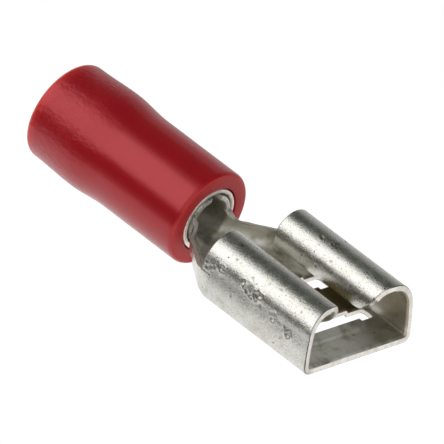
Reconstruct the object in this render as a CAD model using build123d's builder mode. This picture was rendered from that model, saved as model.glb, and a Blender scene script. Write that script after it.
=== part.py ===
"""Insulated female spade terminal for a 6.35 x 0.8 mm tab and small red-coded wire.

The barrel's axis is the X axis. The wire enters at X = 0 and the receptacle's mouth faces +X.
Z is up, on the side of the barrel's seam and of the two curls. All sizes are in millimetres.
"""

from build123d import *
from math import asin, cos, degrees, radians, sin, tan
import os

# Sheet of the stamping
SHEET = 0.36                    # thickness of the rolled brass sheet

# Wire barrel
BARREL_RADIUS = 1.37            # outside radius of the rolled barrel
BARREL_LENGTH = 5.0             # its front edge is level with the PVC's front face
SEAM_GAP = 0.15                 # open butt seam along the top
SEAM_MOUTH = 0.62               # width of the seam where it opens at the front edge
SEAM_MOUTH_LENGTH = 0.9         # length over which it opens

# Metal support sleeve round the barrel
SUPPORT_CLEARANCE = 0.05        # radial gap between barrel and support sleeve
SUPPORT_WALL = 0.25
SUPPORT_START = 0.4             # rear end, inside the wire entry
SUPPORT_SETBACK = 0.03          # its front end, seen as a bright ring, stands back this far
SUPPORT_SWELL = 0.16            # how much wider it is where it grips the wire's insulation
SWELL_END = 3.7                 # where the wide part ends
SWELL_TAPER = 0.9               # length of the cone down to the narrow part

# Insulating PVC sleeve
SLEEVE_CLEARANCE = 0.06         # radial gap between support sleeve and PVC
SLEEVE_WALL = 0.80              # wall at the front
SLEEVE_LENGTH = 10.0
REAR_GROWTH = 0.07              # how far the rear rim stands out over the front's radius
SWELL_GROWTH = 0.16             # how far the swelling stands out over the front's radius
SWELL_PEAK = 2.8                # place of the widest point
SWELL_FOOT = 4.9                # place where the swelling has died out
EDGE_RADIUS = 0.28              # rounded outer edges at both ends
ENTRY_CHAMFER = 0.22            # flare of the bore at the wire entry
BORE_EDGE = 0.06                # broken edge of the bore at the front

# Section of the receptacle: floor, side walls and two curls
RECEPTACLE_WIDTH = 7.6          # outside width at the floor
RECEPTACLE_HEIGHT = 3.13        # outside height, from the floor to the top of the curls
FLOOR_LEVEL = -1.26             # underside of the floor, from the barrel's axis
WALL_LEAN = 4.0                 # inward lean of the side walls, degrees
CORNER_RADIUS = 0.44            # outside radius of the bend between floor and wall
RISING_RADIUS = 1.35            # outside radius of the curl up to its top
FALLING_RADIUS = 1.13           # outside radius of the curl beyond its top
TIP_GAP = 0.72                  # free gap between curl tip and tab rest, under the tab's 0.8

# The receptacle along the axis
RECEPTACLE_LENGTH = 7.46        # from the rear edge of walls and curls to the floor's front edge
MOUTH_RAKE = 12.0               # backward rake of the walls' front edges, degrees
CURL_RAKE = 19.0                # rake of the curls' front edges towards the tips, degrees
TIP_ROUNDING = 0.34             # rounded rear corners of the curl tips
TIP_SWEEP = 1.1                 # radius of their swept front corners, seen from the side
SHOULDER_LENGTH = 0.55          # the floor reaches its full width this far under the curls
SLIT_LEVEL = 0.10               # lower edge of the wall behind the shoulder

# Raised tab rest in the floor and the two slots across it
REST_RISE = 0.20                # height of the raised rest
REST_MARGIN = 1.6               # from the foot of its slopes to the outside of the walls
REST_SPAN = (0.127, 0.838)      # its rear and front end, as shares of the receptacle's length
REST_SLOPE = 50.0               # slope of its sides from the vertical, degrees
REST_CORNER = 0.6
SLOT_MARGIN = 0.6               # from the ends of both slots to the outside of the walls
REAR_SLOT = (0.235, 0.362)      # rear and front edge, as shares of the receptacle's length
FRONT_SLOT = (0.634, 0.736)
SLOT_ROUNDING = 0.2

# Neck: a trough from the barrel to the receptacle, with upstanding flanges that flare out.
# Places along it are shares of its length, half widths are shares of the receptacle's,
# and falls are shares of the step from the floor's level down to the barrel's underside.
NECK_LENGTH = 2.95
FLANGE_STOCK = 0.35             # level to which the flanges stand where they leave the barrel
FLANGE_LOW = (0.186, -0.21)     # place and level of their lowest point
FLANGE_HIGH = (0.814, -0.04)    # place and level from which they rise to the slit
NECK_FLAT_AT_BARREL = 0.01      # half width of its flat bottom where it leaves the round barrel
NECK_STATIONS = (               # place, half width, bend radius, fall and flare in degrees
    (0.27, 0.424, 0.50, 0.73, 24.0),
    (0.47, 0.574, 0.50, 0.45, 19.0),
    (0.71, 0.721, 0.50, 0.09, 19.0),
    (1.00, 0.908, 0.46, 0.00, 10.0),
)

# Places and sizes that follow from the ones above
barrel_end = SLEEVE_LENGTH
barrel_start = barrel_end - BARREL_LENGTH
curl_start = barrel_end + NECK_LENGTH
shoulder_end = curl_start + SHOULDER_LENGTH
mouth = curl_start + RECEPTACLE_LENGTH
support_inside = BARREL_RADIUS + SUPPORT_CLEARANCE
support_outside = support_inside + SUPPORT_WALL
bore_radius = support_outside + SLEEVE_CLEARANCE
sleeve_radius = bore_radius + SLEEVE_WALL
floor_top = FLOOR_LEVEL + SHEET
curl_top = FLOOR_LEVEL + RECEPTACLE_HEIGHT
tip_level = floor_top + REST_RISE + TIP_GAP
half_width = RECEPTACLE_WIDTH / 2
slot_reach = half_width - SLOT_MARGIN
rest_reach = half_width - REST_MARGIN
lean = radians(WALL_LEAN)
curl_middle = half_width - RISING_RADIUS / cos(lean) - (RECEPTACLE_HEIGHT - RISING_RADIUS) * tan(lean)
CLEAR = 5.0                     # reach of a cutting tool past what it cuts


def across(x):
    """Plane across the axis at x, with its own x along +Y and its own y along +Z."""
    return Plane(origin=(x, 0, 0), x_dir=(0, 1, 0), z_dir=(1, 0, 0))


def neck_place(share):
    """Place along the axis at a share of the neck's length."""
    return barrel_end + NECK_LENGTH * share


def floor_place(share):
    """Place along the axis at a share of the receptacle's length."""
    return curl_start + RECEPTACLE_LENGTH * share


def bend_run(radius, angle):
    """Distance from the meeting point of floor and wall to where a bend starts."""
    return radius * tan(radians(angle) / 2)


def curled_side(inset):
    """One side of the receptacle's section, from mid floor to curl tip; returns its tip."""
    wall_bottom = FLOOR_LEVEL + CORNER_RADIUS * (1 + sin(lean))
    wall_top = curl_top - RISING_RADIUS * (1 - sin(lean))
    past_level = degrees(asin((curl_top - FALLING_RADIUS - tip_level) / FALLING_RADIUS))
    level = FLOOR_LEVEL + inset
    floor = Line((0, level), (half_width - bend_run(CORNER_RADIUS, 90 + WALL_LEAN), level))
    bend = JernArc(floor @ 1, (1, 0), CORNER_RADIUS - inset, 90 + WALL_LEAN)
    wall = Line(bend @ 1, bend @ 1 + (bend % 1) * (wall_top - wall_bottom) / cos(lean))
    rising = JernArc(wall @ 1, wall % 1, RISING_RADIUS - inset, 90 - WALL_LEAN)
    falling = JernArc(rising @ 1, (-1, 0), FALLING_RADIUS - inset, 90 + past_level)
    return falling @ 1


def trough_side(inset, half, bend_radius, underside, flare):
    """One side of the neck's section, from mid floor to the top of its flange."""
    level = underside + inset
    floor = Line((0, level), (half - bend_run(bend_radius, 90 - flare), level))
    bend = JernArc(floor @ 1, (1, 0), bend_radius - inset, 90 - flare)
    rise = FLANGE_STOCK - (bend @ 1).Y
    flange = Line(bend @ 1, bend @ 1 + (bend % 1) * rise / cos(radians(flare)))
    return flange @ 1


# Red PVC sleeve: swollen over the wire end, straight in front, with rounded outer edges
with BuildPart() as insulating_sleeve:
    with BuildSketch(Plane.XZ):
        with BuildLine():
            entry_radius = bore_radius + SUPPORT_SWELL
            rear_edge = JernArc(
                (0, sleeve_radius + REAR_GROWTH - EDGE_RADIUS), (0, 1), EDGE_RADIUS, -90
            )
            swelling = Spline(
                rear_edge @ 1,
                (SWELL_PEAK, sleeve_radius + SWELL_GROWTH),
                (SWELL_FOOT, sleeve_radius),
                tangents=((1, 0), (1, 0)),
            )
            barrel_part = Line(swelling @ 1, (SLEEVE_LENGTH - EDGE_RADIUS, sleeve_radius))
            front_edge = JernArc(barrel_part @ 1, (1, 0), EDGE_RADIUS, -90)
            Polyline(
                front_edge @ 1,
                (SLEEVE_LENGTH, bore_radius + BORE_EDGE),
                (SLEEVE_LENGTH - BORE_EDGE, bore_radius),
                (SWELL_END + SWELL_TAPER, bore_radius),
                (SWELL_END, entry_radius),
                (ENTRY_CHAMFER, entry_radius),
                (0, entry_radius + ENTRY_CHAMFER),
                rear_edge @ 0,
            )
        make_face()
    revolve(axis=Axis.X)

# Support sleeve: a thin tube, wider where it grips the wire's insulation
with BuildPart() as support_sleeve:
    support_end = SLEEVE_LENGTH - SUPPORT_SETBACK
    with BuildSketch(Plane.XZ):
        with BuildLine():
            Polyline(
                (SUPPORT_START, support_inside + SUPPORT_SWELL),
                (SWELL_END, support_inside + SUPPORT_SWELL),
                (SWELL_END + SWELL_TAPER, support_inside),
                (support_end, support_inside),
                (support_end, support_outside),
                (SWELL_END + SWELL_TAPER, support_outside),
                (SWELL_END, support_outside + SUPPORT_SWELL),
                (SUPPORT_START, support_outside + SUPPORT_SWELL),
                close=True,
            )
        make_face()
    revolve(axis=Axis.X)

# Neck: lofted from the barrel's round to the receptacle's floor, then its flanges are trimmed
with BuildPart() as neck:
    round_bend = BARREL_RADIUS - NECK_FLAT_AT_BARREL
    first = (0, BARREL_RADIUS / half_width, round_bend, 1, 0)
    last = (1 + SHOULDER_LENGTH / NECK_LENGTH, 1, CORNER_RADIUS, 0, -WALL_LEAN)
    for place, width, bend_radius, fall, flare in (first, *NECK_STATIONS, last):
        half = half_width * width
        underside = FLOOR_LEVEL - (BARREL_RADIUS + FLOOR_LEVEL) * fall
        with BuildSketch(across(neck_place(place))):
            with BuildLine():
                outer_tip = trough_side(0, half, bend_radius, underside, flare)
                inner_tip = trough_side(SHEET, half, bend_radius, underside, flare)
                Line(outer_tip, inner_tip)
                Line((0, underside), (0, underside + SHEET))
            make_face()
            mirror(about=Plane.YZ)
    loft()
    with BuildSketch(Plane.XZ):
        with BuildLine():
            dip = Spline(
                (barrel_end, FLANGE_STOCK),
                (neck_place(FLANGE_LOW[0]), FLANGE_LOW[1]),
                tangents=((0.4, -1), (1, 0.1)),
            )
            Polyline(
                dip @ 1,
                (neck_place(FLANGE_HIGH[0]), FLANGE_HIGH[1]),
                (curl_start, SLIT_LEVEL),
                (shoulder_end, SLIT_LEVEL),
                (shoulder_end, FLANGE_STOCK + CLEAR),
                (barrel_end, FLANGE_STOCK + CLEAR),
                dip @ 0,
            )
        make_face()
    extrude(amount=RECEPTACLE_WIDTH, both=True, mode=Mode.SUBTRACT)

# The stamping: receptacle, neck and barrel in one sheet
with BuildPart() as terminal_body:
    # Floor, walls and curls
    with BuildSketch(across(curl_start)):
        with BuildLine():
            outer_tip = curled_side(0)
            inner_tip = curled_side(SHEET)
            Line(outer_tip, inner_tip)
            Line((0, FLOOR_LEVEL), (0, floor_top))
        make_face()
        mirror(about=Plane.YZ)
    extrude(amount=RECEPTACLE_LENGTH)

    # Front edges: raked back up the walls, and further back towards the curl tips
    raked_top = mouth - RECEPTACLE_HEIGHT * tan(radians(MOUTH_RAKE))
    with BuildSketch(Plane.XZ):
        with BuildLine():
            Polyline(
                (mouth, FLOOR_LEVEL),
                (raked_top, curl_top),
                (raked_top, curl_top + CLEAR),
                (mouth + CLEAR, curl_top + CLEAR),
                (mouth + CLEAR, FLOOR_LEVEL),
                close=True,
            )
        make_face()
    extrude(amount=RECEPTACLE_WIDTH, both=True, mode=Mode.SUBTRACT)
    with BuildSketch(Plane.XY.offset(tip_level - TIP_GAP / 2)):
        with BuildLine():
            Polyline(
                (raked_top, curl_middle),
                (raked_top - curl_middle * tan(radians(CURL_RAKE)), 0),
                (mouth + CLEAR, 0),
                (mouth + CLEAR, curl_middle),
                close=True,
            )
        make_face()
        mirror(about=Plane.XZ)
    extrude(amount=RECEPTACLE_HEIGHT, mode=Mode.SUBTRACT)

    # Rounded rear corners of the curl tips
    tip_faces = terminal_body.faces().filter_by(
        lambda face: abs(face.normal_at().X) < 0.01
        and abs(face.center().Y) < curl_middle
        and tip_level < face.center().Z < tip_level + SHEET
    )
    fillet(
        tip_faces.edges().filter_by(
            lambda edge: edge.length < 2 * SHEET and edge.center().X < curl_start + SHEET
        ),
        TIP_ROUNDING,
    )

    # Swept front corners of the curl tips
    tip_front = raked_top - FALLING_RADIUS * tan(radians(CURL_RAKE))
    with BuildSketch(Plane.XZ):
        with BuildLine():
            Polyline(
                (tip_front, tip_level + TIP_SWEEP),
                (mouth + CLEAR, tip_level + TIP_SWEEP),
                (mouth + CLEAR, tip_level - TIP_GAP / 2),
                (tip_front - TIP_SWEEP, tip_level - TIP_GAP / 2),
                (tip_front - TIP_SWEEP, tip_level),
            )
            RadiusArc(
                (tip_front - TIP_SWEEP, tip_level), (tip_front, tip_level + TIP_SWEEP), -TIP_SWEEP
            )
        make_face()
    extrude(amount=curl_middle, both=True, mode=Mode.SUBTRACT)

    # Lower walls give way to the tapering shoulder
    with BuildSketch(Plane.XZ):
        with Locations((curl_start, FLOOR_LEVEL)):
            Rectangle(SHOULDER_LENGTH, SLIT_LEVEL - FLOOR_LEVEL, align=Align.MIN)
    extrude(amount=RECEPTACLE_WIDTH, both=True, mode=Mode.SUBTRACT)
    add(neck.part)

    # Raised rest for the tab: pressed up from below, so the sheet keeps its thickness
    rest_length = floor_place(REST_SPAN[1]) - floor_place(REST_SPAN[0])
    for level, mode in ((floor_top, Mode.ADD), (FLOOR_LEVEL, Mode.SUBTRACT)):
        with BuildSketch(Plane.XY.offset(level)):
            with Locations((floor_place(REST_SPAN[0]) + rest_length / 2, 0)):
                RectangleRounded(rest_length, 2 * rest_reach, REST_CORNER)
        extrude(amount=REST_RISE, taper=REST_SLOPE, mode=mode)

    # Two slots leave a bridge across the floor
    with BuildSketch(Plane.XY.offset(FLOOR_LEVEL)):
        for rear_share, front_share in (REAR_SLOT, FRONT_SLOT):
            slot_width = floor_place(front_share) - floor_place(rear_share)
            with Locations((floor_place(rear_share) + slot_width / 2, 0)):
                RectangleRounded(slot_width, 2 * slot_reach, SLOT_ROUNDING)
    extrude(amount=SHEET + REST_RISE, mode=Mode.SUBTRACT)

    # Rolled barrel with its seam along the top, opening at the front edge
    with BuildSketch(across(barrel_start)):
        Circle(BARREL_RADIUS)
        Circle(BARREL_RADIUS - SHEET, mode=Mode.SUBTRACT)
    extrude(amount=BARREL_LENGTH)
    with BuildSketch(Plane.XY):
        with BuildLine():
            Polyline(
                (barrel_start, 0),
                (barrel_start, SEAM_GAP / 2),
                (barrel_end - SEAM_MOUTH_LENGTH, SEAM_GAP / 2),
                (barrel_end, SEAM_MOUTH / 2),
                (barrel_end, 0),
                close=True,
            )
        make_face()
        mirror(about=Plane.XZ)
    extrude(amount=BARREL_RADIUS, mode=Mode.SUBTRACT)

insulating_sleeve.part.label = "insulating_sleeve"
support_sleeve.part.label = "support_sleeve"
terminal_body.part.label = "terminal_body"

os.makedirs("parts", exist_ok=True)
export_step(insulating_sleeve.part, "parts/insulating_sleeve.step")
export_step(support_sleeve.part, "parts/support_sleeve.step")
export_step(terminal_body.part, "parts/terminal_body.step")
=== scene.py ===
"""Insulated female spade terminal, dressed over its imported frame.

The barrel's axis is the X axis, the receptacle's mouth faces +X and Z is up. Shape sizes are
written in millimetres and turned to metres where a mesh is made.
"""

import logging
from dataclasses import dataclass, field
from enum import Enum
from math import asin, ceil, cos, hypot, pi, radians, sin, sqrt, tan

import bmesh
import bpy
from mathutils import Matrix, Vector, noise


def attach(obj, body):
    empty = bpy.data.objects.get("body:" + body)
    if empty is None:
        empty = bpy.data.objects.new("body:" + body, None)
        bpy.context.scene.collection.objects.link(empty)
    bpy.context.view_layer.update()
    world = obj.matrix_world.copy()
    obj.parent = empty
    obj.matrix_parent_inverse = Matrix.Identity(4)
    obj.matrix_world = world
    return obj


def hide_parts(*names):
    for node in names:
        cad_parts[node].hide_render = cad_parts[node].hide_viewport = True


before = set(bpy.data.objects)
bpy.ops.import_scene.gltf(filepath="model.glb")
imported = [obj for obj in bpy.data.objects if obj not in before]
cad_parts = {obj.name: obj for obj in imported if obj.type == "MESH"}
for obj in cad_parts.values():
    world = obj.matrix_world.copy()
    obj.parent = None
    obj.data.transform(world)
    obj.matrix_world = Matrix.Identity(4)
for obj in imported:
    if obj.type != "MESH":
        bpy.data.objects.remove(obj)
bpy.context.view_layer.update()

MM = 0.001
LOG = logging.getLogger("spade_terminal")

Point = tuple[float, float, float]
Pair = tuple[float, float]
Colour = tuple[float, float, float, float]
Vertex = bmesh.types.BMVert


class Side(Enum):
    """The two sides of the stamping, by the sign of Y."""

    NEAR = -1
    FAR = 1


class Skin(Enum):
    """Material slots of a sheet piece."""

    FACE = 0
    INNER = 1
    CUT_EDGE = 2


def linear_colour(code: str) -> Colour:
    """Turn an sRGB hex colour to linear values.

    Args:
        code: Colour as six hex digits, with or without a leading hash.

    Returns:
        Red, green, blue and an alpha of 1.
    """
    digits = code.lstrip("#")
    values = [int(digits[i:i + 2], 16) / 255 for i in (0, 2, 4)]
    red, green, blue = [v / 12.92 if v <= 0.04045 else ((v + 0.055) / 1.055) ** 2.4 for v in values]
    return red, green, blue, 1.0


def add_node(tree: bpy.types.NodeTree, kind: str, inputs: dict | None = None,
             **settings: object) -> bpy.types.Node:
    """Add a node with its settings, input values and incoming links.

    Args:
        tree: Node tree that gets the node.
        kind: Blender's identifier of the node type.
        inputs: Input name or index to what it gets. A socket is linked, a node is linked by its
            first output, and anything else becomes the input's own value.
        **settings: Attributes set on the node itself.

    Returns:
        The new node.
    """
    node = tree.nodes.new(kind)
    for name, value in settings.items():
        setattr(node, name, value)
    for key, given in (inputs or {}).items():
        if isinstance(given, bpy.types.Node):
            given = given.outputs[0]
        if isinstance(given, bpy.types.NodeSocket):
            tree.links.new(given, node.inputs[key])
        else:
            node.inputs[key].default_value = given
    return node


def empty_material(name: str) -> tuple[bpy.types.Material, bpy.types.NodeTree]:
    """Make a material with an empty node tree.

    Args:
        name: Name of the material.

    Returns:
        The material and its tree.
    """
    material = bpy.data.materials.new(name)
    material.use_nodes = True
    material.node_tree.nodes.clear()
    return material, material.node_tree


def smooth_step(value: float) -> float:
    """Ease from 0 to 1 with level ends."""
    t = min(max(value, 0.0), 1.0)
    return t * t * (3 - 2 * t)


def smooth_through(places: list[float], values: list[float], place: float) -> float:
    """Read a smooth curve through given values that never overshoots them.

    Args:
        places: Rising places of the values.
        values: Value at each place.
        place: Where to read.

    Returns:
        The value there.
    """
    if place <= places[0]:
        return values[0]
    if place >= places[-1]:
        return values[-1]
    count = len(places)
    steps = [places[i + 1] - places[i] for i in range(count - 1)]
    slopes = [(values[i + 1] - values[i]) / steps[i] for i in range(count - 1)]
    tangents = [0.0]
    for before, after in zip(slopes, slopes[1:]):
        tangents.append(0.0 if before * after <= 0 else 2 / (1 / before + 1 / after))
    tangents.append(slopes[-1])
    i = max(k for k in range(count - 1) if places[k] <= place)
    t = (place - places[i]) / steps[i]
    return (
        values[i] * (1 + 2 * t) * (1 - t) ** 2
        + steps[i] * tangents[i] * t * (1 - t) ** 2
        + values[i + 1] * t * t * (3 - 2 * t)
        + steps[i] * tangents[i + 1] * t * t * (t - 1)
    )


def divide(stops: list[float], spacing: float) -> list[float]:
    """Divide each run between stops evenly.

    Args:
        stops: Rising stops that are all kept.
        spacing: Largest step.

    Returns:
        All places, the stops among them.
    """
    places = [stops[0]]
    for low, high in zip(stops, stops[1:]):
        count = max(1, ceil((high - low) / spacing - 1e-9))
        places += [low + (high - low) * (k + 1) / count for k in range(count)]
    return places


def put(name: str, data: bpy.types.ID) -> bpy.types.Object:
    """Make an object and link it to the scene.

    Args:
        name: Name of the object.
        data: Its mesh, camera or lamp.

    Returns:
        The object, at the origin.
    """
    thing = bpy.data.objects.new(name, data)
    bpy.context.scene.collection.objects.link(thing)
    return thing


def run_tree(name: str, mesh: bpy.types.Mesh, tree: bpy.types.GeometryNodeTree,
             values: dict[str, object]) -> bpy.types.Object:
    """Run a Geometry Nodes tree on a mesh and keep the result as a plain mesh.

    Args:
        name: Name of the finished object.
        mesh: What the tree starts from.
        tree: The tree.
        values: Name of each of the tree's inputs to its value.

    Returns:
        The finished object, without a modifier, at the origin.
    """
    source = put(mesh.name, mesh)
    modifier = source.modifiers.new(tree.name, "NODES")
    modifier.node_group = tree
    known = {s.name: s.identifier for s in tree.interface.items_tree
             if s.item_type == "SOCKET" and s.in_out == "INPUT"}
    for key, value in values.items():
        modifier[known[key]] = value
    graph = bpy.context.evaluated_depsgraph_get()
    result = bpy.data.meshes.new_from_object(source.evaluated_get(graph), depsgraph=graph)
    result.name = name
    source.modifiers.remove(modifier)
    bpy.data.objects.remove(source, do_unlink=True)
    return put(name, result)


def hand_over(piece: bpy.types.Object, node: str) -> bpy.types.Object:
    """Let a finished piece stand for its CAD node.

    Args:
        piece: The finished piece.
        node: CAD node that it replaces.

    Returns:
        The piece.
    """
    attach(piece, "root")
    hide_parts(node)
    faces = len(piece.data.polygons)
    LOG.info("%s: %d faces, %d vertices", piece.name, faces, len(piece.data.vertices))
    return piece


@dataclass(frozen=True)
class BrightTin:
    """Tin plated brass sheet, electroplated and then rolled and pressed.

    The plating gives a bright mirror broken by a fine grain, so highlights are broad with a
    speckled edge. Small dark spots stay in the pores, and the same dark colour is painted shade
    in pits and along the rolled border. Inside the receptacle it may be patchy: pale patches that
    on the floor are also painted light, brown stains, brown painted shade on the floor under the
    curls, and a browner far side near the mouth.
    """

    name: str
    colour: str = "#D2D1CC"
    shade: str = "#C3C1B9"
    spot: str = "#45423A"            # random dark spots and pores; painted shade in pits and along the rolled edges; dents' darker rings
    roughness: float = 0.24
    grain_mm: float = 0.075          # the real grain is about 0.03 mm, drawn coarser to show
    mottle_mm: float = 0.5
    spot_mm: float = 0.26
    spot_share: float = 0.55
    spot_radius: float = 0.19        # of the largest spots, as a share of their spacing
    grain_depth_mm: float = 0.014
    wave_depth_mm: float = 0.008
    pore_share: float = 0.6
    patch_mm: float = 1.1
    # Pale patches on the floor, which also paint light there
    pale_patch_and_light: str = "#F8F7F1"
    # Brown for random stains and for painted shade under the curls
    stain_and_shade: str = "#7C7050"
    patchiness: float = 0.0          # pale patches, stains and painted shade show inside the receptacle only
    patch_seed: float = 1.7
    # How much browner the far side gets near the mouth
    far_side_browning: float = 0.5
    # Painted shade: brown on the floor under the curls
    bridge_shade: float = 0.0

    def material(self) -> bpy.types.Material:
        """Build the plating's nodes.

        Returns:
            The material.
        """
        material, tree = empty_material(self.name)
        place = add_node(tree, "ShaderNodeTexCoord").outputs["Object"]
        x, y, z = add_node(tree, "ShaderNodeSeparateXYZ", {0: place}).outputs
        grain, waves, mottle = (
            add_node(tree, "ShaderNodeTexNoise",
                     {"Vector": place, "Scale": 1 / (size * MM), "Detail": detail,
                      "Roughness": roughness})
            for size, detail, roughness in (
                (self.grain_mm, 3.0, 0.7),
                (3.4 * self.grain_mm, 2.0, 0.5),
                (self.mottle_mm, 5.0, 0.68),
            )
        )
        patches = add_node(tree, "ShaderNodeTexNoise",
                           {"Vector": place, "Scale": 1 / (self.patch_mm * MM), "Detail": 3.0,
                            "Roughness": 0.6, "W": self.patch_seed}, noise_dimensions="4D")
        spots = add_node(tree, "ShaderNodeTexVoronoi",
                         {"Vector": place, "Scale": 1 / (self.spot_mm * MM)})
        chance = add_node(tree, "ShaderNodeSeparateColor", {"Color": spots.outputs["Color"]})
        tone, ragged, pores, spot_size, rough = (
            add_node(tree, "ShaderNodeMapRange",
                     {"Value": value, "From Min": low, "From Max": high,
                      "To Min": least, "To Max": most})
            for value, low, high, least, most in (
                (mottle, 0.38, 0.60, 0.0, 1.0),
                (grain, 0.30, 0.62, 0.0, 0.9),
                (grain, 0.45, 0.32, 0.0, self.pore_share),
                (chance, self.spot_share, 1.0, 0.0, self.spot_radius),
                (mottle, 0.3, 0.7, self.roughness - 0.05, self.roughness + 0.08),
            )
        )
        pale, brown, behind, under, beyond, aside, fore = (
            add_node(tree, "ShaderNodeMapRange",
                     {"Value": value, "From Min": low, "From Max": high,
                      "To Min": least, "To Max": most}, interpolation_type="SMOOTHSTEP")
            for value, low, high, least, most in (
                (patches, 0.66, 0.40, 0.0, self.patchiness),
                (patches, 0.56, 0.68, 0.0, 0.4 * self.patchiness),
                (x, 18.2 * MM, 17.5 * MM, 0.0, self.bridge_shade),
                (z, -0.3 * MM, -0.7 * MM, 0.0, 1.0),
                (x, 14.2 * MM, 15.6 * MM, 0.1, 1.0),
                # Browner towards the far side; the next range keeps it to the mouth.
                (y, -1.2 * MM, 2.8 * MM, 0.0, self.far_side_browning * self.patchiness),
                (x, 17.8 * MM, 18.8 * MM, 0.0, 1.0),
            )
        )
        grime_and_shade = add_node(tree, "ShaderNodeAttribute", attribute_name="grime_and_shade").outputs["Fac"]
        # The pale patches are kept to the floor, where they are painted light as well.
        lit_floor, shade_under_curls, beside, darkening = (
            add_node(tree, "ShaderNodeMath", {0: first, 1: second}, operation="MULTIPLY")
            for first, second in ((pale, under), (behind, under), (aside, fore), (grime_and_shade, ragged))
        )
        # Painted shade on the floor under the curls: brown from x 14.2 mm, faint at first, up to
        # 18.2 mm.
        shade_under_curls = add_node(tree, "ShaderNodeMath", {0: shade_under_curls, 1: beyond}, operation="MULTIPLY")
        stains_and_shade = brown
        for part in (shade_under_curls, beside):
            stains_and_shade = add_node(tree, "ShaderNodeMath", {0: stains_and_shade, 1: part},
                                 operation="MAXIMUM")
        # Dark marks: random spots and pores, darker dent rings, and painted shade in pits and along
        # the rolled border.
        dark = add_node(tree, "ShaderNodeMath", {0: spots, 1: spot_size}, operation="LESS_THAN")
        for part in (darkening, pores):
            dark = add_node(tree, "ShaderNodeMath", {0: dark, 1: part}, operation="MAXIMUM")
        base = linear_colour(self.shade)
        for share, colour in ((tone, self.colour), (lit_floor, self.pale_patch_and_light),
                              (stains_and_shade, self.stain_and_shade), (dark, self.spot)):
            base = add_node(tree, "ShaderNodeMix", {0: share, 6: base, 7: linear_colour(colour)},
                            data_type="RGBA").outputs[2]
        fine = add_node(tree, "ShaderNodeBump",
                        {"Strength": 0.9, "Distance": self.grain_depth_mm * MM, "Height": grain})
        wide = add_node(tree, "ShaderNodeBump",
                        {"Strength": 0.6, "Distance": self.wave_depth_mm * MM, "Height": waves,
                         "Normal": fine})
        shader = add_node(tree, "ShaderNodeBsdfPrincipled",
                          {"Metallic": 1.0, "Base Color": base, "Roughness": rough, "Normal": wide})
        add_node(tree, "ShaderNodeOutputMaterial", {"Surface": shader})
        return material


@dataclass(frozen=True)
class ShearedEdge:
    """Cut edge of the plated sheet, sheared through and tinned over afterwards.

    The shear leaves it rougher than the faces, so it takes light from everywhere and reads as a
    pale, warm line with fine lines across the sheet.
    """

    name: str
    colour: str = "#EDE9E3"
    dull: str = "#D9D4CB"
    roughness: float = 0.52
    line_mm: float = 0.06            # shear lines are finer than this, drawn coarser to show
    patch_mm: float = 0.4
    line_depth_mm: float = 0.005

    def material(self) -> bpy.types.Material:
        """Build the cut edge's nodes.

        Returns:
            The material.
        """
        material, tree = empty_material(self.name)
        place = add_node(tree, "ShaderNodeTexCoord").outputs["Object"]
        lines, patches = (
            add_node(tree, "ShaderNodeTexNoise",
                     {"Vector": place, "Scale": 1 / (size * MM), "Detail": detail})
            for size, detail in ((self.line_mm, 2.0), (self.patch_mm, 3.0))
        )
        tone = add_node(tree, "ShaderNodeMapRange",
                        {"Value": patches, "From Min": 0.35, "From Max": 0.6})
        base = add_node(tree, "ShaderNodeMix",
                        {0: tone, 6: linear_colour(self.dull), 7: linear_colour(self.colour)},
                        data_type="RGBA").outputs[2]
        bump = add_node(tree, "ShaderNodeBump",
                        {"Strength": 0.4, "Distance": self.line_depth_mm * MM, "Height": lines})
        shader = add_node(tree, "ShaderNodeBsdfPrincipled",
                          {"Metallic": 1.0, "Roughness": self.roughness, "Base Color": base,
                           "Normal": bump})
        add_node(tree, "ShaderNodeOutputMaterial", {"Surface": shader})
        return material


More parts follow.
